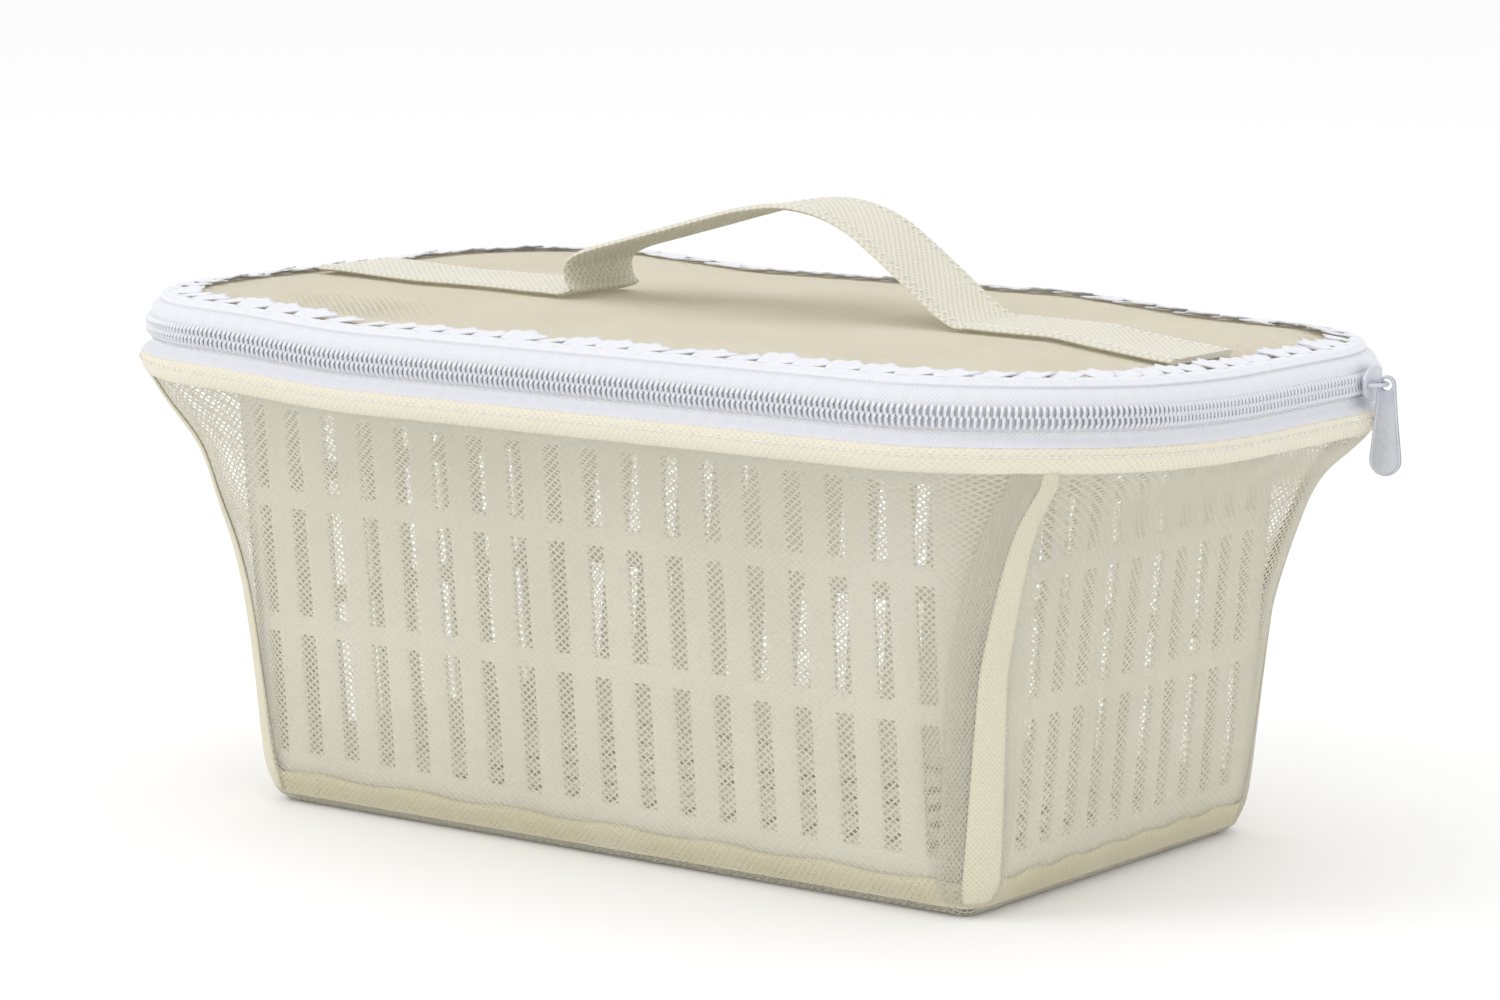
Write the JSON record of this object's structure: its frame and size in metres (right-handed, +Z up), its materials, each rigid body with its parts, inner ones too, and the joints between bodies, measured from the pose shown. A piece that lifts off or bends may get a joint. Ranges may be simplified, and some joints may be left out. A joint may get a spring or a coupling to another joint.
{
  "type": "mesh laundry bag",
  "caption": "Long laundry bag of knitted mesh stretched over a slatted plastic basket, with a zip-open mesh lid, scalloped trim and a webbing carrying handle.",
  "frame": {"origin": "centre of the bag's flat underside, where it rests", "axes": "+X along the long side to the right, +Y to the lid's hinged back, +Z up; the front faces -Y"},
  "size_m": [0.3593, 0.2181, 0.1813],
  "materials": {
    "basket": "satin",
    "mesh": "matte",
    "tape": "matte",
    "coil": "satin",
    "enamel": "satin",
    "webbing": "matte",
    "trim": "matte"
  },
  "bodies": {
    "bag": {"basket_floor": "basket", "basket_front_wall": "basket", "basket_back_wall": "basket", "basket_left_wall": "basket", "basket_right_wall": "basket", "basket_front_left_corner": "basket", "basket_front_right_corner": "basket", "basket_rear_left_corner": "basket", "basket_rear_right_corner": "basket", "basket_rim": "basket", "bag_front_panel": "mesh", "bag_back_panel": "mesh", "bag_left_panel": "mesh", "bag_right_panel": "mesh", "bag_bottom_panel": "mesh", "bag_rim_hem": "mesh", "zip_tape_bag_side": "tape", "lid_hinge_tape": "tape", "zip_coil_bag_side": "coil", "zip_coil_left_end": "coil", "zip_coil_right_end": "coil", "zip_end_stop_left": "enamel", "zip_end_stop_right": "enamel"},
    "lid": {"lid_mesh_panel": "mesh", "lid_scalloped_trim": "trim", "zip_tape_lid_side": "tape", "zip_coil_lid_side": "coil", "strap_left_tail": "webbing", "strap_right_tail": "webbing", "handle_left_leg": "webbing", "handle_right_leg": "webbing"},
    "grip": {"handle_grip": "webbing"},
    "front_slider": {"front_slider_body": "enamel"},
    "rear_slider": {"rear_slider_body": "enamel"},
    "front_tab": {"front_pull_tab": "enamel"},
    "rear_tab": {"rear_pull_tab": "enamel"}
  },
  "joints": [
    {"name": "lid_open", "type": "hinge", "parent": "bag", "child": "lid", "pos_m": [0, 0.1078, 0.144], "axis": [-1, 0, 0], "range_deg": [0, 175]},
    {"name": "handle_press", "type": "slide", "parent": "lid", "child": "grip", "axis": [0, 0, -1], "range_m": [0, 0.022], "deforming": ["handle_left_leg", "handle_right_leg"]},
    {"name": "front_slider_run", "type": "hinge", "parent": "bag", "child": "front_slider", "pos_m": [0.113, 0.0445, 0.135], "axis": [0, 0, 1], "range_deg": [-3, 36]},
    {"name": "rear_slider_run", "type": "hinge", "parent": "bag", "child": "rear_slider", "pos_m": [0.113, 0.0445, 0.135], "axis": [0, 0, 1], "range_deg": [-5, 5]},
    {"name": "front_tab_swing", "type": "hinge", "parent": "front_slider", "child": "front_tab", "pos_m": [0.17896, 0.05377, 0.135], "axis": [0.1392, -0.9903, 0], "range_deg": [0, 150]},
    {"name": "rear_tab_swing", "type": "hinge", "parent": "rear_slider", "child": "rear_tab", "pos_m": [0.13795, 0.10625, 0.135], "axis": [0.9272, -0.3746, 0], "range_deg": [0, 150]}
  ]
}
